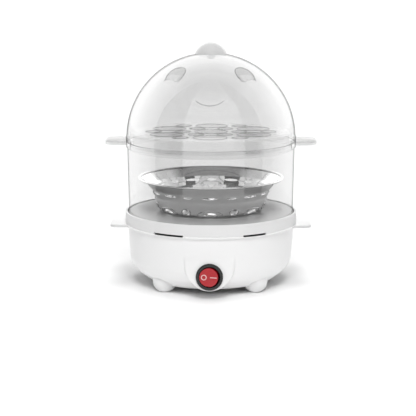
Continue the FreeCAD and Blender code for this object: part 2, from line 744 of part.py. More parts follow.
def cable_gland():
    bush = turned("gland_turned", [
        ("gland_bore", "61"), ("gland_bore", "gland_end"), ("gland_bore + 1.6", "gland_end"),
        ("7", "gland_seat + 2.4"), ("7.5", "gland_seat"), ("gland_neck", "gland_seat"), ("gland_neck", "67.6"),
        ("7", "67.6"), ("7", "61"),
    ])
    place(bush, z="gland_height", axis=(1, 0, 0), angle=-90)
    node(bush, "cable_gland")


# Clear parts and the steel tray -------------------------------------------------------------

def middle_tier():
    wall = "clear_wall"
    tube = turned("tier_tube", [
        ("tier_foot_radius", "plate_top"),
        ("tier_foot_radius", "plate_top + 4"),
        ("tier_shoulder_radius", "tier_top - 5.4"),
        ("rim_radius", "tier_top - 4.2", "1.6", -1),
        ("rim_radius", "tier_top"),
        ("rim_bore", "tier_top"),
        ("rim_bore", "tier_top - 4.4"),
        (f"tier_shoulder_radius - {wall}", "tier_top - 7"),
        (f"tier_foot_radius - {wall}", "plate_top + 4"),
        (f"tier_foot_radius - {wall}", "plate_top"),
    ])
    ears = ear_pair("tier_ear", "upper_ear_reach", "upper_ear_width", "upper_ear_thick",
                    "tier_top - upper_ear_thick", "rim_radius - 1", "9")
    node(fuse("middle_tier_body", [tube, *ears]), "middle_tier")


SEAT_COUNT = 7
SLOT_COUNT = 18


def steel_foot(name, **at):
    return cylinder(name, "2.5", "steel_floor - plate_top + 0.3", z="plate_top", **at)


def drip_cut(name, **at):
    return sphere(name, "drip_radius", z="drip_level", **at)


def oval_cut(name, angle, pitch, level, sizes):
    """Oval tool through the wall of the steel tray, from its height, depth and width."""
    item = document.addObject("Part::Ellipsoid", name)
    for radius, size in zip(("Radius1", "Radius2", "Radius3"), sizes):
        item.setExpression(radius, linked(f"{size} / 2"))
    return place(item, z=level, angle=angle, **polar(pitch, angle))


def steel_tray():
    dish = turned("steel_dish", [
        ("0", "steel_floor"), ("42", "steel_floor"), ("47.3", "steel_floor + 4.4", "6", 1), ("50", "78"),
        ("54.5", "85.3"), ("steel_rim", "steel_top - 0.6"), ("steel_rim", "steel_top + 0.6", "0.6", 1),
        ("steel_rim - 0.6", "steel_top + 0.2"), ("54.5 - steel_sheet", "85.7"),
        ("50 - steel_sheet", "78.3"), ("47.3 - steel_sheet", "steel_floor + 4.8"),
        ("41.8", "steel_floor + steel_sheet", "5.4", -1), ("0", "steel_floor + steel_sheet"),
    ])
    feet_pads = ring_of("steel_foot", 3, "23", steel_foot, 90)
    tools = [cylinder("centre_seat", "egg_hole", "6", z="63")]
    for index in range(SEAT_COUNT):
        tools.append(oval_cut(f"seat_cut_{index}", 360.0 / SEAT_COUNT * index - 90.0, "seat_pitch", "seat_level",
                              ("seat_height", "6", "seat_width")))
    tools += ring_of("drip_cut", SEAT_COUNT, "drip_pitch", drip_cut, 180 / SEAT_COUNT - 90)
    for index in range(SLOT_COUNT):
        width = "long_slot" if index % 2 == 0 else "short_slot"
        tools.append(oval_cut(f"steam_slot_{index}", 360.0 / SLOT_COUNT * index - 90.0, "slot_pitch",
                              "crease_height", ("slot_height", "16", width)))
    node(cut("steel_tray_cut", fuse("steel_body", [dish, *feet_pads]), tools), "steel_tray")


def egg_hole(name, **at):
    return cylinder(name, "egg_hole", "20", z="tray_top - 10", **at)


def steam_hole(name, **at):
    return cylinder(name, "steam_hole", "20", z="tray_top - 10", **at)


def upper_egg_tray():
    """Clear perforated plate with a stepped skirt that hangs inside the rim of the tier."""
    skirt = "clear_wall - 0.4"
    dish = turned("egg_tray_dish", [
        ("0", "tray_top - tray_thick"), (f"tray_radius - {skirt}", "tray_top - tray_thick"),
        (f"tray_radius - {skirt}", "tier_top - 3.5"), ("tray_radius", "tier_top - 3.5"),
        ("tray_radius", "tier_top"), ("tray_radius + 1.3", "tier_top"),
        ("tray_radius + 1.3", "tier_top + 3"), ("tray_radius + 0.4", "tier_top + 3"),
        ("tray_radius + 0.4", "tray_top - 2.2"), ("tray_radius", "tray_top - 2.2"),
        ("tray_radius", "tray_top - 0.6"),
        ("tray_radius - 0.6", "tray_top", "0.6", 1), ("0", "tray_top"),
    ])
    tools = [egg_hole("egg_hole_centre")]
    tools += ring_of("egg_hole_ring", 6, "egg_pitch", egg_hole, 30)
    tools += ring_of("inner_steam", 6, "inner_steam_pitch", steam_hole)
    tools += ring_of("outer_steam", 6, "outer_steam_pitch", steam_hole)
    node(cut("egg_tray_cut", dish, tools), "upper_egg_tray")


def lid_outline():
    inside = "dome_radius - clear_wall"
    apex_seat = "4.9"
    outer_flat = "dome_centre + dome_radius + 0.2"
    return [
        (inside, "tier_top"), ("rim_radius", "tier_top"), ("rim_radius", "dome_centre + 1.6"),
        ("sqrt(dome_radius^2 - 3.2^2)", "dome_centre + 3.2"),
        (apex_seat, f"dome_centre + sqrt(dome_radius^2 - {apex_seat}^2)", "dome_radius", 1),
        (apex_seat, outer_flat), ("0", outer_flat), ("0", f"dome_centre + {inside} - 0.3"),
        ("6", f"dome_centre + {inside} - 0.3"),
        ("6.1", f"dome_centre + sqrt(({inside})^2 - 6.1^2)"),
        (inside, "dome_centre", inside, -1),
    ]


VENTS = {"left": -1, "right": 1}


def vent_frame(side):
    """Point of a vent on the dome, and its directions to the knob, sideways and outwards."""
    across, forward = number("vent_aside") * side, -number("vent_forward")
    up = math.sqrt(number("dome_radius")**2 - across**2 - forward**2)
    outward = FreeCAD.Vector(across, forward, up).normalize()
    to_knob = (FreeCAD.Vector(0, 0, 1) - outward * outward.z).normalize()
    centre = FreeCAD.Vector(across, forward, up + number("dome_centre"))
    return centre, to_knob, to_knob.cross(outward), outward


def vent_blister(name, side, grow):
    """Raised leaf-shaped hood on the dome, as an ellipsoid whose long axis points at the knob."""
    item = document.addObject("Part::Ellipsoid", name)
    for size, expression in (("Radius1", f"vent_rise + {grow}"), ("Radius2", f"vent_length / 2 + {grow}"),
                             ("Radius3", f"vent_width / 2 + {grow}")):
        item.setExpression(size, linked(expression))
    _, to_knob, sideways, outward = vent_frame(side)
    item.Placement = FreeCAD.Placement(FreeCAD.Vector(), FreeCAD.Rotation(to_knob, sideways, outward, "ZXY"))
    for letter, value in (("x", f"vent_aside * {side}"), ("y", "-vent_forward"),
                          ("z", "dome_centre + sqrt(dome_radius^2 - vent_aside^2 - vent_forward^2)")):
        item.setExpression(f"Placement.Base.{letter}", linked(value))
    return item


def vent_mouth(name, side):
    """Half-space below the middle of a hood, where it stays open for the steam."""
    centre, to_knob, sideways, outward = vent_frame(side)
    corner = centre - to_knob * 20 - sideways * 9 - outward * 6
    mouth = document.addObject("Part::Box", name)
    mouth.Length, mouth.Width, mouth.Height = 18, 16, 20
    mouth.Placement = FreeCAD.Placement(corner, FreeCAD.Rotation(sideways, to_knob, outward, "XYZ"))
    return mouth


def front_rib():
    """Thin arc moulded on the front of the dome, a piece of a small circle of the sphere."""
    rib = document.addObject("Part::Torus", "lid_front_rib")
    rib.setExpression("Radius1", linked("rib_radius"))
    rib.setExpression("Radius2", linked("rib_thick / 2"))
    rib.setExpression("Angle3", linked("rib_sweep"))
    tilt = math.radians(number("rib_tilt"))
    outward = FreeCAD.Vector(0, -math.cos(tilt), math.sin(tilt))
    across = FreeCAD.Vector(1, 0, 0)
    low_start = FreeCAD.Rotation(outward, -90 - number("rib_sweep") / 2)
    turn = low_start.multiply(FreeCAD.Rotation(across, outward.cross(across), outward, "ZXY"))
    rib.Placement = FreeCAD.Placement(FreeCAD.Vector(), turn)
    for letter, value in (("y", "-sqrt(dome_radius^2 - rib_radius^2) * cos(rib_tilt)"),
                          ("z", "dome_centre + sqrt(dome_radius^2 - rib_radius^2) * sin(rib_tilt)")):
        rib.setExpression(f"Placement.Base.{letter}", linked(value))
    return rib


def dome_lid():
    dome = turned("lid_dome", lid_outline())
    ears = ear_pair("lid_ear", "upper_ear_reach", "upper_ear_width", "upper_ear_thick", "tier_top",
                    "rim_radius - 1", "9")
    hoods = []
    openings = []
    for name, side in VENTS.items():
        shell = cut(f"vent_{name}_hood", vent_blister(f"vent_{name}_outer", side, "0"),
                    [vent_blister(f"vent_{name}_inner", side, "-1.2")])
        hoods.append(cut(f"vent_{name}_trim", shell, [vent_mouth(f"vent_{name}_mouth", side),
                                                      sphere(f"vent_{name}_core", "dome_radius - 0.9",
                                                             z="dome_centre")]))
        steam = common(f"vent_{name}_steam", [vent_blister(f"vent_{name}_slit", side, "-1.2"),
                                              vent_mouth(f"vent_{name}_gap", side)])
        openings.append(steam)
    screw_hole = cylinder("lid_screw_hole", "1.6", "12", z="dome_centre + 66")
    body = cut("lid_pierced", fuse("lid_body", [dome, *ears]), [*openings, screw_hole])
    node(fuse("dome_lid_whole", [body, *hoods, front_rib()]), "dome_lid")


def knob():
    seat = "dome_centre + dome_radius + 0.2"
    rim = "total_height - knob_sphere + sqrt(knob_sphere^2 - knob_radius^2)"
    node(turned("knob_turned", [
        ("knob_radius", rim), ("0", "total_height", "knob_sphere", 1), ("0", f"{seat} + 7.2"),
        ("1.5", f"{seat} + 7.2"), ("1.5", seat), ("4.4", seat), ("4.4", "total_height - 3.2"),
        ("6", "total_height - 3.4"), ("knob_radius - 2", f"{rim} + 0.4", "knob_sphere - 2", -1),
    ]), "lid_knob")
    under = "dome_centre + dome_radius - clear_wall - 0.3"
    washer = turned("washer_turned", [("1.7", f"{under} - 0.8"), ("5", f"{under} - 0.8"), ("5", under),
                                      ("1.7", under)])
    node(washer, "knob_washer")
    fixing = screw("knob_screw_whole", "3.4", "1.45", "2.2", "11", z=f"{under} - 3")
    node(fixing, "knob_screw")


lower_shell()
bottom_cover()
upper_ring()
feet()
base_screws()
heating_plate()
plate_gasket()
insulator_ring()
plate_clamps()
heating_element()
thermostat()
thermal_fuse()
heat_shield()
terminal_block()
leads()
switch()
rocker()
cable_gland()
middle_tier()
steel_tray()
upper_egg_tray()
dome_lid()
knob()
document.recompute()

for item in document.Objects:
    if "Invalid" in item.State or "Error" in item.State:
        raise RuntimeError(f"{item.Label} is {item.State}")
os.makedirs("parts", exist_ok=True)
for item in nodes:
    if item.Shape.isNull() or not item.Shape.isValid():
        raise RuntimeError(f"{item.Label} has no valid shape")
    item.Shape.exportStep(f"parts/{item.Label}.step")
    reach = item.Shape.BoundBox
    print(f"{item.Label:24s} {len(item.Shape.Solids):2d} solids {item.Shape.Volume:10.1f} mm3 "
          f"x {reach.XMin:7.2f} {reach.XMax:7.2f} y {reach.YMin:7.2f} {reach.YMax:7.2f} "
          f"z {reach.ZMin:7.2f} {reach.ZMax:7.2f}")
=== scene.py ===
import json
import math

import bmesh
import bpy
from mathutils import Matrix, Vector


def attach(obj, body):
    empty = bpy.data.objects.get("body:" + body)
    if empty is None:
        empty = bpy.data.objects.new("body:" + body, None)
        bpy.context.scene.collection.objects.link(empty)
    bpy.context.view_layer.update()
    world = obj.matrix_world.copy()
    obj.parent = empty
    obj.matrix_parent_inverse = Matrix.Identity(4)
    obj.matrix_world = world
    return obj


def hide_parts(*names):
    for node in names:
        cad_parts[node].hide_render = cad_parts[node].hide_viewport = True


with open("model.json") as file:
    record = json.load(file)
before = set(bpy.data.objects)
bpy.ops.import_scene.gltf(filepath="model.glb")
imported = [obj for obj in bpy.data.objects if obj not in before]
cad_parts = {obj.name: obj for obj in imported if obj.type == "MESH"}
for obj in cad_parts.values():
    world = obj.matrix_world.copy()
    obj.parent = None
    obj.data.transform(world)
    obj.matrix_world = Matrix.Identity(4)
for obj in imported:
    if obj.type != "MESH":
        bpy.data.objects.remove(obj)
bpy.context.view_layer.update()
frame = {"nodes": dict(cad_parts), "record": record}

# Egg cooker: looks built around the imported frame. +Z is up and the switch faces -Y. Objects and
# materials are in metres. Meshes are built in millimetres, about the same origin, and scaled by
# add_piece.

MM = 0.001
NODES = frame["nodes"]
SCENE = bpy.context.scene

# Room and light
FILL_LIGHT = 0.13
# grey of the reflected room around the object: 0 and 1 are in front, 0.25 is left, 0.5 is behind
ROOM_PANELS = [(0.0, 0.9), (0.23, 1.0), (0.38, 2.0), (0.62, 2.0), (0.77, 1.0), (1.0, 0.9)]
# share of the ceiling in the reflected room, and its grey; 0 is straight down and 1 straight up
CEILING_SHARE = [(0.70, 0.0), (0.84, 1.0)]
CEILING_LEVEL = [(0.88, 0.95), (0.97, 0.2)]

# Fineness of the meshes; from here on, lengths are in millimetres and angles in degrees
SHARP_ANGLE = 40
SHELL_TURNS = 660
LATHE_TURNS = 360
DOME_ROWS = 144
DRAIN_STEPS = 24
VENT_STEPS = 20
VENT_PLACES = 24
VENT_EDGE_STEPS = 48
RING_STEPS = 32
RIB_SIDES = 8

# Bowl of the base, its switch pad and its openings
FLANGE_TOP = 54.28
PAD_RADIUS = 22.0
PAD_CENTRE = 28.6
PAD_FACE = 73.3
PAD_LEAN = 1.9
PAD_FADE = 42.0
PAD_MARGIN = 3.0
PAD_SIDE_BLEND = (-1.9, 0.35)
PAD_TOP_BLEND = (33.0, 41.5)
SWITCH_HEIGHT = 20.5
SWITCH_OPENING = 10.6
GLAND_HEIGHT = 32.0
GLAND_OPENING = 6.0
DRAIN_ANGLES = {"left": (-128.5, -107.0), "right": (-68.0, -51.0)}
DRAIN_FLOOR = 53.5

# Dome of the lid, its steam vents and its raised lines
DOME_RADIUS = 73.3
DOME_CENTRE = Vector((0, 0, 127.8))
VENT_ASIDE = 29.0
VENT_FORWARD = 35.8
VENT_MOUTH = -7.5
VENT_TIP = 9.5
VENT_RISE = 2.8
VENT_HALF_WIDTH = 7.2
VENT_SWELL = 0.7
RIB_RADIUS = 0.45
ARCH_RADIUS = 0.35

# Upper tray: (number, distance out, first angle, radius) of its rings of holes
TRAY_HOLES = [(1, 0.0, 0.0, 14.0), (6, 42.7, 30.0, 14.0), (6, 24.6, 0.0, 6.5), (6, 50.0, 0.0, 6.5)]
LIP_LEVEL = 132.95
LIP_OFFSET = 0.35
LIP_RADIUS = 0.4

# Steel tray: the outline of its foot from the floor up the wall, and the rings pressed in it, as
# half width, half height and level; a level counts along the outline from WALL_FOOT
SEAT_COUNT = 7
FOOT_OUTLINE = [(30.0, 65.6), (42.0, 65.6), (44.3, 66.1), (46.1, 67.6), (47.3, 70.0), (50.0, 78.0)]
WALL_FOOT = 15.6
SEAT_RING = (10.5, 3.6, 1.0)
DRIP_RING = (4.2, 3.2, 2.6)
RING_LIFT = 0.1


# Node helpers -------------------------------------------------------------------------------

def grey(level):
    return (level, level, level)


def feed(tree, target, value):
    """Links an output to an input, or gives the input a plain value."""
    if isinstance(value, bpy.types.NodeSocket):
        tree.links.new(value, target)
    else:
        target.default_value = value


def make_node(tree, kind, inputs):
    """New node whose inputs, by name or number, are fed from outputs or plain values."""
    made = tree.nodes.new(kind)
    for key, value in inputs.items():
        feed(tree, made.inputs[key], value)
    return made


def math_node(tree, operation, *values):
    """Result of a Math node whose inputs are outputs of other nodes or plain numbers."""
    made = tree.nodes.new("ShaderNodeMath")
    made.operation = operation
    for index, value in enumerate(values):
        feed(tree, made.inputs[index], value)
    return made.outputs[0]


def mix_colour(tree, factor, first, second):
    """The first colour where the factor is 0, the second where it is 1."""
    made = tree.nodes.new("ShaderNodeMix")
    made.data_type = "RGBA"
    feed(tree, made.inputs["Factor"], factor)
    feed(tree, made.inputs["A"], first)
    feed(tree, made.inputs["B"], second)
    return made.outputs["Result"]


def ramp(tree, value, stops, interpolation="LINEAR"):
    """Grey level or colour that follows a value through (position, level) stops."""
    made = make_node(tree, "ShaderNodeValToRGB", {"Fac": value})
    made.color_ramp.interpolation = interpolation
    elements = made.color_ramp.elements
    while len(elements) < len(stops):
        elements.new(0.5)
    for element, (position, level) in zip(elements, stops):
        element.position = position
        element.color = (*(level if isinstance(level, tuple) else grey(level)), 1)
    return made.outputs[0]


def place_axes(tree, space):
    """X, Y and Z of the place in a coordinate space, by name."""
    where = tree.nodes.new("ShaderNodeTexCoord")
    return make_node(tree, "ShaderNodeSeparateXYZ", {0: where.outputs[space]}).outputs


# Camera, world, floor and lights ------------------------------------------------------------

def place_camera():
    """Camera a little over a metre away, looking slightly down at the front of the base."""
    aim = Vector((-0.00255, 0.0, 0.0653))
    distance = 1.0995
    pitch = math.radians(10.4)
    azimuth = math.radians(1.1)
    offset = Vector((math.sin(azimuth) * math.cos(pitch),
                     -math.cos(azimuth) * math.cos(pitch),
                     math.sin(pitch)))
    data = bpy.data.cameras.new("camera")
    data.sensor_width = 36.0
    data.lens = 108.17
    data.clip_end = 50.0
    camera = bpy.data.objects.new("camera", data)
    camera.location = aim + offset * distance
    camera.rotation_euler = (-offset).to_track_quat("-Z", "Y").to_euler()
    SCENE.collection.objects.link(camera)
    SCENE.camera = camera


def studio_world():
    """White surround for the eye, an even fill for diffuse light, and for reflections a room of
    pale and bright walls under a ceiling that is dark overhead."""
    world = bpy.data.worlds.new("studio")
    SCENE.world = world
    world.use_nodes = True
    tree = world.node_tree
    tree.nodes.clear()
    axes = place_axes(tree, "Generated")
    turn = math_node(tree, "ARCTAN2", axes["X"], axes["Y"])
    bearing = math_node(tree, "MULTIPLY_ADD", turn, 0.5 / math.pi, 0.5)
    height = math_node(tree, "MULTIPLY_ADD", axes["Z"], 0.5, 0.5)
    room = mix_colour(tree, ramp(tree, height, CEILING_SHARE, "EASE"),
                      ramp(tree, bearing, ROOM_PANELS, "EASE"),
                      ramp(tree, height, CEILING_LEVEL, "EASE"))
    path = tree.nodes.new("ShaderNodeLightPath").outputs
    surround = mix_colour(tree, path["Is Diffuse Ray"], (*grey(1), 1), (*grey(FILL_LIGHT), 1))
    seen = mix_colour(tree, path["Is Glossy Ray"], surround, room)
    background = make_node(tree, "ShaderNodeBackground", {"Color": seen})
    make_node(tree, "ShaderNodeOutputWorld", {"Surface": background.outputs[0]})


def soft_sun(name, direction, spread, power):
    """Even light from one direction that does not show in reflections; the spread is in degrees."""
    data = bpy.data.lights.new(name, "SUN")
    data.angle = math.radians(spread)
    data.energy = power
    light = bpy.data.objects.new(name, data)
    light.rotation_euler = Vector(direction).to_track_quat("Z", "Y").to_euler()
    light.visible_glossy = False
    SCENE.collection.objects.link(light)


def stage_quad(name, corners, finish):
    """Flat four-cornered piece of the studio, which isn't part of the object."""
    mesh = bpy.data.meshes.new(name)
    mesh.from_pydata(corners, [], [(0, 1, 2, 3)])
    mesh.materials.append(finish)
    quad = bpy.data.objects.new(name, mesh)
    SCENE.collection.objects.link(quad)
    return quad


def dark_flag(name, first, last):
    """Black card standing beside the front of the object, between two bearings from -Y in degrees;
    it shows only in reflections."""
    distance, height = 0.5, 2.5
    (x1, y1), (x2, y2) = [(distance * math.sin(bearing), -distance * math.cos(bearing))
                          for bearing in (math.radians(first), math.radians(last))]
    flag = stage_quad(name, [(x1, y1, 0), (x2, y2, 0), (x2, y2, height), (x1, y1, height)],
                      plastic(name, grey(0.02), 0.9))
    flag.visible_camera = False
    flag.visible_diffuse = False
    flag.visible_shadow = False


def studio():
    """Everything around the object: camera, room, lights, cards and floor."""
    SCENE.view_settings.view_transform = "Standard"
    SCENE.cycles.max_bounces = 16
    SCENE.cycles.transparent_max_bounces = 32
    SCENE.cycles.caustics_reflective = False
    SCENE.cycles.caustics_refractive = False
    place_camera()
    studio_world()
    soft_sun("key", direction=(0.02, 0.05, 1.0), spread=32, power=1.68)
    soft_sun("front", direction=(0.06, -1.0, 1.19), spread=20, power=1.72)
    dark_flag("left_flag", -75, -35)
    dark_flag("right_flag", 44, 70)
    reach = 40.0
    corners = [(-reach, -reach, 0), (reach, -reach, 0), (reach, reach, 0), (-reach, reach, 0)]
    stage_quad("floor", corners, plastic("floor_paper", grey(0.98), 0.9, bump_strength=0.0))


# Materials ----------------------------------------------------------------------------------

def material(name):
    """New node material, still empty, and its node tree."""
    made = bpy.data.materials.new(name)
    made.use_nodes = True
    made.node_tree.nodes.clear()
    return made, made.node_tree


def show(tree, shader):
    """Makes a shader node the surface of the material."""
    make_node(tree, "ShaderNodeOutputMaterial", {"Surface": shader.outputs[0]})


def noise_over(tree, scale, detail):
    """Noise over the object, in its own space."""
    where = tree.nodes.new("ShaderNodeTexCoord")
    return make_node(tree, "ShaderNodeTexNoise", {
        "Vector": where.outputs["Object"], "Scale": scale, "Detail": detail}).outputs["Fac"]


def noise_bump(tree, scale, strength, distance=0.0002, detail=3.0):
    """Noise over the surface, and the fine unevenness that it makes."""
    noise = noise_over(tree, scale, detail)
    bump = make_node(tree, "ShaderNodeBump",
                     {"Strength": strength, "Distance": distance, "Height": noise})
    return noise, bump.outputs[0]


def varied(tree, noise, low, high, span=(0.3, 0.7)):
    """Colour or value that wanders between two levels with the noise."""
    return ramp(tree, noise, [(span[0], low), (span[1], high)])


def scaled(colour, share):
    return tuple(channel * share for channel in colour)


def plastic(name, colour, roughness, bump_strength=0.15, specular=0.5, scale=500.0):
    """Fine-grained plastic; other dull finishes are made from it too."""
    made, tree = material(name)
    noise, normal = noise_bump(tree, scale, bump_strength)
    show(tree, make_node(tree, "ShaderNodeBsdfPrincipled", {
        "Base Color": varied(tree, noise, scaled(colour, 0.99), colour),
        "Roughness": varied(tree, noise, roughness * 0.85, roughness * 1.15),
        "Specular IOR Level": specular,
        "Normal": normal}))
    return made


def moulded_plastic(name, colour, roughness):
    """Even moulded plastic whose colour and sheen drift slowly over the surface."""
    made, tree = material(name)
    drift = noise_over(tree, 14.0, 1.0)
    show(tree, make_node(tree, "ShaderNodeBsdfPrincipled", {
        "Base Color": varied(tree, drift, scaled(colour, 0.985), colour, (0.0, 1.0)),
        "Roughness": varied(tree, drift, roughness * 0.9, roughness * 1.1, (0.0, 1.0))}))
    return made


def metal(name, colour, roughness, scale=300.0, bump_strength=0.05):
    """Bare metal with faint unevenness."""
    made, tree = material(name)
    noise, normal = noise_bump(tree, scale, bump_strength)
    show(tree, make_node(tree, "ShaderNodeBsdfPrincipled", {
        "Base Color": varied(tree, noise, scaled(colour, 0.94), colour),
        "Metallic": 1.0,
        "Roughness": varied(tree, noise, roughness * 0.8, roughness * 1.25),
        "Normal": normal}))
    return made


def band(tree, value, centre, half, soft):
    """1 where a value is within half of a centre, fading to 0 over a soft edge."""
    off = math_node(tree, "ABSOLUTE", math_node(tree, "SUBTRACT", value, centre))
    inside = math_node(tree, "DIVIDE", math_node(tree, "SUBTRACT", half + soft, off), soft)
    return math_node(tree, "MINIMUM", math_node(tree, "MAXIMUM", inside, 0.0), 1.0)


def marked_lens(name, colour, print_colour):
    """Glossy red rocker with a pale printed ring on the left and a pale bar on the right."""
    ring_centre, ring_radius = -4.6 * MM, 2.0 * MM
    bar_centre, bar_half = 3.3 * MM, 2.7 * MM
    line, soft = 0.28 * MM, 0.12 * MM
    made, tree = material(name)
    axes = place_axes(tree, "Object")
    across = axes["X"]
    up = math_node(tree, "SUBTRACT", axes["Z"], SWITCH_HEIGHT * MM)
    aside = math_node(tree, "SUBTRACT", across, ring_centre)
    squares = math_node(tree, "ADD", math_node(tree, "MULTIPLY", aside, aside),
                        math_node(tree, "MULTIPLY", up, up))
    ring = band(tree, math_node(tree, "SQRT", squares), ring_radius, line, soft)
    bar = math_node(tree, "MULTIPLY", band(tree, across, bar_centre, bar_half, soft),
                    band(tree, up, 0.0, line, soft))
    noise, normal = noise_bump(tree, 1500.0, 0.03)
    lens_colour = varied(tree, noise, scaled(colour, 0.9), colour)
    show(tree, make_node(tree, "ShaderNodeBsdfPrincipled", {
        "Base Color": mix_colour(tree, math_node(tree, "MAXIMUM", ring, bar), lens_colour,
                                 (*print_colour, 1)),
        "Roughness": 0.18,
        "Normal": normal}))
    return made


def clear_plastic(name, middle, rim, line, gloss, edge=0.79):
    """Thin clear plastic: a little grey face on, clearer towards the rim, dark where seen edge on.
    Middle, rim and line are the shares of light let through; the dark line starts at edge."""
    made, tree = material(name)
    layer = make_node(tree, "ShaderNodeLayerWeight", {"Blend": 0.5})
    facing = layer.outputs["Facing"]
    rest = 1 - edge
    tint = ramp(tree, facing, [(0.0, middle), (0.25, middle), (0.60, rim), (edge, rim),
                               (edge + 0.38 * rest, (rim + line) / 1.6),
                               (edge + 0.71 * rest, line), (1.0, line)])
    through = make_node(tree, "ShaderNodeBsdfTransparent", {"Color": tint})
    noise, normal = noise_bump(tree, 30.0, 0.1, distance=0.0003, detail=1.0)
    skin = make_node(tree, "ShaderNodeBsdfPrincipled", {
        "Base Color": (*grey(0.9), 1),
        "Metallic": 1.0,
        "Roughness": varied(tree, noise, 0.03, 0.07),
        "Normal": normal})
    amount = ramp(tree, facing, [(0.0, gloss), (0.5, gloss), (0.80, gloss + 0.02),
                                 (0.94, 0.15), (1.0, 0.3)])
    show(tree, make_node(tree, "ShaderNodeMixShader",
                         {0: amount, 1: through.outputs[0], 2: skin.outputs[0]}))
    return made


def make_materials():
    """Materials by slot of the record, and the finishes that only pieces made here have."""
    return {
        "white_plastic": moulded_plastic("white_plastic", grey(0.92), 0.32),
        # painted shade: a greyer copy of the white plastic for the shaded tops of the base's ears
        "painted_shade_plastic": moulded_plastic("painted_shade_plastic", grey(0.70), 0.32),
        "pearl_plastic": plastic("pearl_plastic", grey(0.80), 0.35, 0.12),
        "plate_aluminium": plastic("plate_coating", grey(0.62), 0.35, 0.03, specular=0.15),
        "dark_silicone": plastic("dark_silicone", grey(0.06), 0.6, 0.3),
        "black_phenolic": plastic("black_phenolic", grey(0.03), 0.5, 0.3),
        "zinc_steel": metal("zinc_steel", (0.62, 0.63, 0.64), 0.3),
        "element_sheath": metal("element_sheath", (0.40, 0.37, 0.34), 0.45, bump_strength=0.3),
        "ceramic": plastic("ceramic", (0.85, 0.82, 0.77), 0.7, 0.4),
        "glass_sleeve": plastic("glass_sleeve", (0.80, 0.77, 0.70), 0.8, 0.6, scale=2500.0),
        "nylon_natural": plastic("nylon_natural", (0.82, 0.79, 0.70), 0.45, 0.2),
        "lead_insulation": plastic("lead_insulation", (0.50, 0.08, 0.05), 0.5, 0.2),
        "blue_insulation": plastic("blue_insulation", (0.05, 0.12, 0.42), 0.5, 0.2),
        "black_plastic": plastic("black_plastic", grey(0.012), 0.25, 0.1),
        "brass": metal("brass", (0.75, 0.58, 0.28), 0.25),
        "lamp_glass": plastic("lamp_glass", (0.9, 0.5, 0.25), 0.1, 0.05),
        "red_lens": marked_lens("red_lens", (0.46, 0.010, 0.018), (0.80, 0.55, 0.55)),
        "black_rubber": plastic("black_rubber", grey(0.02), 0.6, 0.3),
        "stainless": metal("stainless", grey(0.93), 0.04, scale=120.0, bump_strength=0.03),
        # painted dark reflection: a darker copy of the stainless steel for its rolled rim and
        # pressed rings
        "painted_dark_steel": metal("painted_dark_steel", grey(0.42), 0.15, scale=120.0, bump_strength=0.03),
        "clear_tier": clear_plastic("clear_tier", 0.84, 0.93, 0.30, 0.085),
        "clear_tray": clear_plastic("clear_tray", 0.95, 0.97, 0.35, 0.04, edge=0.91),
        "clear_lip": clear_plastic("clear_lip", 0.80, 0.76, 0.55, 0.04),
        "clear_ear": clear_plastic("clear_ear", 0.80, 0.84, 0.62, 0.04, edge=0.91),
        "clear_lid": clear_plastic("clear_lid", 0.84, 0.93, 0.12, 0.085, edge=0.77),
        "frosted_knob": plastic("frosted_knob", grey(0.60), 0.3, 0.02),
    }


def dress_nodes():
    """Gives every carried-over CAD node the material of its slot."""
    for part in frame["record"]["subparts"]:
        data = NODES[part["node"]].data
        data.materials.clear()
        data.materials.append(MATERIALS[part["material_slot"]])
    for name in ("knob_washer", "knob_screw"):
        NODES[name].data.materials[0] = MATERIALS["clear_tray"]


# Mesh helpers -------------------------------------------------------------------------------

def around(count):
    """Angles of evenly spaced steps once around."""
    return [2 * math.pi * step / count for step in range(count)]


def arc_points(start, end, radius, bulge, count):
    """Points after start along the minor arc to end; bulge 1 bends it right of the way, -1 left."""
    start, end = Vector(start), Vector(end)
    chord = end - start
    left = Vector((-chord.y, chord.x)).normalized()
    rise = math.sqrt(radius**2 - chord.length_squared / 4)
    centre = (start + end) / 2 + left * rise * bulge
    first = math.atan2(start.y - centre.y, start.x - centre.x)
    sweep = math.atan2(end.y - centre.y, end.x - centre.x) - first
    sweep = (sweep + math.pi) % (2 * math.pi) - math.pi
    return [(centre.x + radius * math.cos(first + sweep * step / count),
             centre.y + radius * math.sin(first + sweep * step / count))
            for step in range(1, count + 1)]


def line_points(start, end, count):
    """Points after start along the straight line to end."""
    return [(start[0] + (end[0] - start[0]) * step / count,
             start[1] + (end[1] - start[1]) * step / count) for step in range(1, count + 1)]


def smooth_step(low, high, value):
    part = min(max((value - low) / (high - low), 0.0), 1.0)
    return part * part * (3 - 2 * part)


def add_piece(name, mesh, body, slot, replaced=(), finish=None):
    """Puts a finished bmesh on a body with the material of its slot, or with another finish."""
    bmesh.ops.recalc_face_normals(mesh, faces=mesh.faces)
    data = bpy.data.meshes.new(name)
    mesh.to_mesh(data)
    mesh.free()
    data.transform(Matrix.Scale(MM, 4))
    data.shade_smooth()
    data.set_sharp_from_angle(angle=math.radians(SHARP_ANGLE))
    data.materials.append(MATERIALS[finish or slot])
    piece = bpy.data.objects.new(name, data)
    SCENE.collection.objects.link(piece)
    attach(piece, body)
    if replaced:
        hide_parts(*replaced)


def surface_grid(mesh, points, closed_around=True):
    """Quads over rows of points; unless told otherwise, every row goes once around."""
    rows = [[mesh.verts.new(point) for point in row] for row in points]
    around_row = len(rows[0])
    faces = []
    for upper, lower in zip(rows, rows[1:]):
        for index in range(around_row if closed_around else around_row - 1):
            following = (index + 1) % around_row
            corners = (upper[index], upper[following], lower[following], lower[index])
            faces.append(mesh.faces.new(corners))
    return faces


def lathe_rows(outline, angles):
    """Rows of points for an outline of (radius, height) turned about Z."""
    return [[(radius * math.cos(angle), radius * math.sin(angle), height) for angle in angles]
            for radius, height in outline]


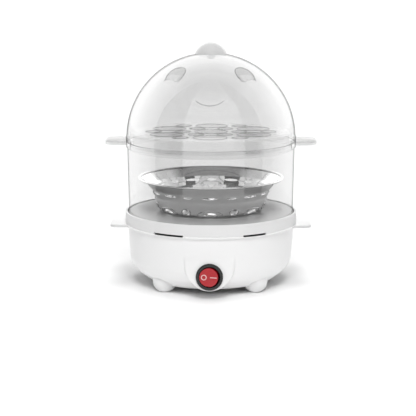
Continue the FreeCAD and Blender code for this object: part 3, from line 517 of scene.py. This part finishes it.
def torus_rows(centre, radius, thick, turns=72, sides=10):
    """Rows of points of a round bead lying flat around a centre; the last row meets the first."""
    rows = []
    for side in range(sides + 1):
        tilt = 2 * math.pi * side / sides
        reach = radius + thick * math.cos(tilt)
        height = centre[2] + thick * math.sin(tilt)
        rows.append([(centre[0] + reach * math.cos(angle), centre[1] + reach * math.sin(angle),
                      height) for angle in around(turns)])
    return rows


def tube_along(mesh, path, radius, taper=True):
    """Thin round rib over (point, normal) pairs on a surface; it may fade out at its ends."""
    rows = []
    last = len(path) - 1
    for index, (point, normal) in enumerate(path):
        along = (path[min(index + 1, last)][0] - path[max(index - 1, 0)][0]).normalized()
        aside = normal.cross(along).normalized()
        size = radius * min(1.0, (1 + min(index, last - index)) / 4) if taper else radius
        rows.append([point + (normal * math.cos(turn) + aside * math.sin(turn)) * size
                     for turn in around(RIB_SIDES)])
    surface_grid(mesh, rows)


def rounded_tab(mesh, side, root, reach, width, corner, bottom, top, edge):
    """Flat ear along X with round corners and softened rims; its root follows a circle about Z."""
    corner_steps, root_steps, rim_rows = 12, 16, 3
    level, off_root = 1e-6, 0.05
    plan = []
    for centre_y, first in ((width / 2 - corner, 90), (corner - width / 2, 0)):
        for step in range(corner_steps + 1):
            angle = math.radians(first - 90 * step / corner_steps)
            plan.append((reach - corner + corner * math.cos(angle),
                         centre_y + corner * math.sin(angle)))
    for step in range(root_steps + 1):
        y = width * (step / root_steps - 0.5)
        plan.append((math.sqrt(root**2 - y**2), y))
    before = set(mesh.edges)
    floor = mesh.faces.new([mesh.verts.new((side * x, y, bottom)) for x, y in plan])
    raised = bmesh.ops.extrude_face_region(mesh, geom=[floor])
    lifted = [item for item in raised["geom"] if isinstance(item, bmesh.types.BMVert)]
    bmesh.ops.translate(mesh, verts=lifted, vec=(0, 0, top - bottom))
    rims = [rim for rim in mesh.edges
            if rim not in before and abs(rim.verts[0].co.z - rim.verts[1].co.z) < level
            and min(math.hypot(v.co.x, v.co.y) for v in rim.verts) > root + off_root]
    bmesh.ops.bevel(mesh, geom=rims, offset=edge, segments=rim_rows, affect="EDGES", profile=0.5)


# Base ---------------------------------------------------------------------------------------

def bowl_outline():
    """Outline of the bowl, from its rolled flange down to the opening in its floor."""
    outline = [(73.2, FLANGE_TOP)]
    outline += line_points(outline[-1], (74.6, FLANGE_TOP), 2)
    outline += arc_points(outline[-1], (74.6, 53.02), 0.631, -1, 8)
    outline += line_points(outline[-1], (73.25, 53.0), 2)
    outline += arc_points(outline[-1], (72.95, 52.6), 0.45, 1, 3)
    outline += line_points(outline[-1], (70.85, 25.7), 44)
    outline += arc_points(outline[-1], (64.9, 13.1), 19.4, -1, 28)
    outline += line_points(outline[-1], (57.9, 7.6), 22)
    outline += arc_points(outline[-1], (48.95, 4.5), 14.5, -1, 26)
    return outline + [(47.5, 4.5), (45.9, 4.5), (45.5, 4.6), (45.5, 5.6), (36.2, 5.6), (36.0, 6.2)]


def pad_radius_at(height):
    """Outside of the switch pad: upright, then leaning back into the bowl."""
    if height < PAD_CENTRE:
        return PAD_FACE
    return PAD_FACE - PAD_LEAN * (height - PAD_CENTRE) / (PAD_FADE - PAD_CENTRE)


def pad_push(radius, height, angle):
    """How far the soft-edged switch pad stands out of the bowl."""
    reach = pad_radius_at(height)
    across = reach * math.cos(angle)
    if math.sin(angle) >= 0 or height >= PAD_FADE or abs(across) >= PAD_RADIUS + PAD_MARGIN:
        return 0.0
    outside = math.hypot(across, min(height - PAD_CENTRE, 0.0)) - PAD_RADIUS
    push = max(reach - radius, 0.0) * (1 - smooth_step(*PAD_SIDE_BLEND, outside))
    return push * (1 - smooth_step(*PAD_TOP_BLEND, height))


def shell_point(radius, height, angle):
    """Point of the bowl, with the pad pushed out and the flange lowered at the drain slots."""
    bearing = math.degrees(angle) - 360
    in_drain = any(first < bearing < last for first, last in DRAIN_ANGLES.values())
    reach = radius + pad_push(radius, height, angle)
    return (reach * math.cos(angle), reach * math.sin(angle),
            min(height, DRAIN_FLOOR) if in_drain else height)


def shell_skin():
    """White bowl with its rolled flange and the soft-edged switch pad, open at switch and gland."""
    mesh = bmesh.new()
    turns = around(SHELL_TURNS)
    faces = surface_grid(mesh, [[shell_point(radius, height, turn) for turn in turns]
                                for radius, height in bowl_outline()])
    wall_depth = 60
    openings = []
    for face in faces:
        x, y, z = face.calc_center_median()
        at_switch = y < -wall_depth and math.hypot(x, z - SWITCH_HEIGHT) < SWITCH_OPENING
        at_gland = y > wall_depth and math.hypot(x, z - GLAND_HEIGHT) < GLAND_OPENING
        if at_switch or at_gland:
            openings.append(face)
    bmesh.ops.delete(mesh, geom=openings, context="FACES")
    add_piece("shell_skin", mesh, "base", "white_plastic", ["lower_shell"])


def shell_ears():
    """The two carrying ears of the base, in a greyer plastic than its bowl: painted shade for the
    grey of their tops.
    """
    mesh = bmesh.new()
    for side in (1, -1):
        rounded_tab(mesh, side, root=72.8, reach=87.2, width=44.0, corner=6.0,
                    bottom=51.9, top=FLANGE_TOP, edge=0.7)
    add_piece("shell_ears", mesh, "base", "white_plastic", finish="painted_shade_plastic")


def painted_shade_drain_liners():
    """Black strips lining the two low windows between the band and the bowl: painted shade that
    keeps the windows dark.
    """
    for name, (first, last) in DRAIN_ANGLES.items():
        angles = [math.radians(first + (last - first) * step / DRAIN_STEPS)
                  for step in range(DRAIN_STEPS + 1)]
        mesh = bmesh.new()
        # painted shade: a black channel inside each window, where there would be shadow
        channel = [(74.7, 55.06), (71.6, 55.06), (71.6, 53.54), (74.9, 53.54)]
        surface_grid(mesh, lathe_rows(channel, angles), closed_around=False)
        add_piece(f"painted_shade_drain_liner_{name}", mesh, "base", "black_phenolic")


# Lid ----------------------------------------------------------------------------------------

def clear_dome():
    """Thin clear dome with its bead and the two slits of its steam vents."""
    skirt_top, knob_hole = 3.2, 1.6
    start = math.asin(skirt_top / DOME_RADIUS)
    sphere = []
    for step in range(DOME_ROWS + 1):
        angle = start + (math.pi / 2 - start) * step / DOME_ROWS
        sphere.append((max(DOME_RADIUS * math.cos(angle), knob_hole),
                       DOME_CENTRE.z + DOME_RADIUS * math.sin(angle)))
    outline = [(71.7, 124.85), (73.4, 124.85)]
    outline += arc_points(outline[-1], (73.86, 125.3), 0.46, -1, 4)
    outline += line_points(outline[-1], (73.86, 128.8), 3)
    outline += line_points(outline[-1], sphere[0], 3)
    outline += sphere[1:]
    mesh = bmesh.new()
    faces = surface_grid(mesh, lathe_rows(outline, around(LATHE_TURNS)))
    slit_reach, slit_low, slit_half_width = 12, VENT_MOUTH + 0.5, 5.5
    slits = []
    for side in (1, -1):
        to_knob, sideways, outward = vent_axes(side)
        for face in faces:
            off = face.calc_center_median() - DOME_CENTRE - outward * DOME_RADIUS
            if (off.length < slit_reach and slit_low < off.dot(to_knob) < 0.0
                    and abs(off.dot(sideways)) < slit_half_width):
                slits.append(face)
    bmesh.ops.delete(mesh, geom=slits, context="FACES")
    add_piece("clear_dome", mesh, "lid", "clear_lid", ["dome_lid"])


def vent_axes(side):
    """Directions to the knob, sideways and outwards at the middle of a vent."""
    across, forward = VENT_ASIDE * side, -VENT_FORWARD
    up = math.sqrt(DOME_RADIUS**2 - across**2 - forward**2)
    outward = Vector((across, forward, up)).normalized()
    to_knob = (Vector((0, 0, 1)) - outward * outward.z).normalized()
    return to_knob, to_knob.cross(outward), outward


def vent_point(axes, along, aside, lift):
    """Point over the dome at a place in the plan of a vent, and the normal there."""
    to_knob, sideways, outward = axes
    depth = math.sqrt(DOME_RADIUS**2 - along**2 - aside**2)
    normal = (outward * depth + to_knob * along + sideways * aside).normalized()
    return normal * (DOME_RADIUS + lift) + DOME_CENTRE, normal


def leaf_along(share):
    """Place along a vent by its share of the way from the widest part to the tip."""
    return VENT_MOUTH + share * (VENT_TIP - VENT_MOUTH)


def leaf_width(share):
    """Half width of a vent there; it swells a little before it narrows."""
    return VENT_HALF_WIDTH * math.sqrt(max(1 - share * share, 0.0)) * (1 + VENT_SWELL * share)


def hood_rise(across):
    """Height of the mouth of a vent by the place across it, from -1 to 1."""
    return VENT_RISE * (1 - across * across) ** 0.6


def vent_hood(mesh, side):
    """Leaf-shaped hood that rises from its tip to an open mouth, edged with a raised line."""
    axes = vent_axes(side)
    hood_lift, edge_lift, scallop_depth = 0.05, 0.1, 0.9
    rows = []
    for step in range(VENT_STEPS + 1):
        share = step / (VENT_STEPS + 0.5)
        row = []
        for place in range(VENT_PLACES + 1):
            across = 2 * place / VENT_PLACES - 1
            lift = hood_lift + hood_rise(across) * math.sqrt(1 - share * share)
            row.append(vent_point(axes, leaf_along(share), across * leaf_width(share), lift)[0])
        rows.append(row)
    surface_grid(mesh, rows, closed_around=False)
    edge, arch = [], []
    for step in range(VENT_EDGE_STEPS + 1):
        turn = math.pi * (step / VENT_EDGE_STEPS - 0.5)
        share = math.cos(turn)
        sway = math.copysign(1.0, math.sin(turn))
        edge.append(vent_point(axes, leaf_along(share), sway * leaf_width(share), edge_lift))
        across = 2 * step / VENT_EDGE_STEPS - 1
        scallop = scallop_depth * abs(math.sin(2 * math.pi * across))
        arch.append(vent_point(axes, VENT_MOUTH - scallop, across * leaf_width(0.0),
                               hood_rise(across)))
    tube_along(mesh, edge, RIB_RADIUS)
    tube_along(mesh, arch, ARCH_RADIUS)


def front_rib(mesh):
    """Thin arc low on the front of the dome, a piece of a small circle of the sphere."""
    tilt, half_turn, steps = math.radians(39.8), 50.5, 32
    spread = math.asin(15.5 / DOME_RADIUS)
    outward = Vector((0, -math.cos(tilt), math.sin(tilt)))
    down = Vector((0, -math.sin(tilt), -math.cos(tilt)))
    across = Vector((1, 0, 0))
    path = []
    for step in range(steps + 1):
        turn = math.radians(half_turn * (2 * step / steps - 1))
        aside = down * math.cos(turn) + across * math.sin(turn)
        normal = outward * math.cos(spread) + aside * math.sin(spread)
        path.append((normal * DOME_RADIUS + DOME_CENTRE, normal))
    tube_along(mesh, path, RIB_RADIUS)


def lid_mouldings():
    """Moulded details of the dome, kept as a piece of their own."""
    mesh = bmesh.new()
    for side in (1, -1):
        vent_hood(mesh, side)
    front_rib(mesh)
    add_piece("lid_mouldings", mesh, "lid", "clear_lid", finish="clear_lip")


# Tier and trays -----------------------------------------------------------------------------

def clear_tier():
    """Thin clear tube with a foot and a double-walled collar at the top."""
    outline = [(70.2, 64.03), (71.4, 64.03), (71.75, 64.4), (71.75, 68.0)]
    outline += line_points(outline[-1], (72.63, 119.3), 24)
    outline += arc_points(outline[-1], (73.85, 120.7), 1.6, -1, 5)
    outline += line_points(outline[-1], (73.85, 124.3), 3)
    outline += [(73.7, 124.65), (73.4, 124.76), (70.9, 124.76), (70.5, 124.5), (70.45, 120.5),
                (70.9, 118.2)]
    mesh = bmesh.new()
    surface_grid(mesh, lathe_rows(outline, around(LATHE_TURNS)))
    add_piece("clear_tier", mesh, "middle_tier", "clear_tier", ["middle_tier"])


def clear_ears(name, body, slot, bottom):
    """Two flat ears of a clear part."""
    mesh = bmesh.new()
    for side in (1, -1):
        rounded_tab(mesh, side, root=73.7, reach=91.3, width=33.0, corner=9.0,
                    bottom=bottom, top=bottom + 1.7, edge=0.5)
    add_piece(name, mesh, body, slot, finish="clear_ear")


def tray_lips():
    """Rounded lips moulded around the egg holes and steam holes of the upper tray."""
    mesh = bmesh.new()
    for count, distance, first, radius in TRAY_HOLES:
        for turn in around(count):
            angle = turn + math.radians(first)
            centre = (distance * math.cos(angle), distance * math.sin(angle), LIP_LEVEL)
            surface_grid(mesh, torus_rows(centre, radius + LIP_OFFSET, LIP_RADIUS))
    add_piece("tray_lips", mesh, "upper_egg_tray", "clear_tray", finish="clear_lip")


def steel_bead():
    """Rolled rim of the steel tray, in a darker steel that paints the dark reflection along it."""
    mesh = bmesh.new()
    surface_grid(mesh, torus_rows((0.0, 0.0, 92.6), 61.8, 0.98, turns=240, sides=14))
    add_piece("steel_bead", mesh, "steel_tray", "stainless", finish="painted_dark_steel")


def along_wall(level):
    """Radius, height and outward direction on the foot of the steel tray, by level up its wall."""
    left = WALL_FOOT + level
    for (radius_a, height_a), (radius_b, height_b) in zip(FOOT_OUTLINE, FOOT_OUTLINE[1:]):
        length = math.hypot(radius_b - radius_a, height_b - height_a)
        if left <= length:
            break
        left -= length
    share = left / length
    out = ((height_b - height_a) / length, (radius_a - radius_b) / length)
    return radius_a + (radius_b - radius_a) * share, height_a + (height_b - height_a) * share, out


def seat_rings():
    """Pressed rings round the seats and drip holes in the wall of the steel tray, in the darker
    steel of painted dark reflection.
    """
    mesh = bmesh.new()
    for index in range(2 * SEAT_COUNT):
        middle = math.radians(180 / SEAT_COUNT * index - 90)
        half_width, half_height, level = DRIP_RING if index % 2 else SEAT_RING
        path = []
        for step in range(RING_STEPS + 1):
            turn = 2 * math.pi * step / RING_STEPS
            radius, height, out = along_wall(level + half_height * math.sin(turn))
            angle = middle + half_width * math.cos(turn) / radius
            normal = Vector((out[0] * math.cos(angle), out[0] * math.sin(angle), out[1]))
            point = Vector((radius * math.cos(angle), radius * math.sin(angle), height))
            path.append((point + normal * RING_LIFT, normal))
        tube_along(mesh, path, RIB_RADIUS, taper=False)
    add_piece("seat_rings", mesh, "steel_tray", "stainless", finish="painted_dark_steel")


MATERIALS = make_materials()
studio()
dress_nodes()
shell_skin()
shell_ears()
clear_dome()
lid_mouldings()
clear_tier()
clear_ears("lid_ears", "lid", "clear_lid", 124.85)
clear_ears("tier_ears", "middle_tier", "clear_tier", 123.05)
tray_lips()
steel_bead()
seat_rings()
painted_shade_drain_liners()
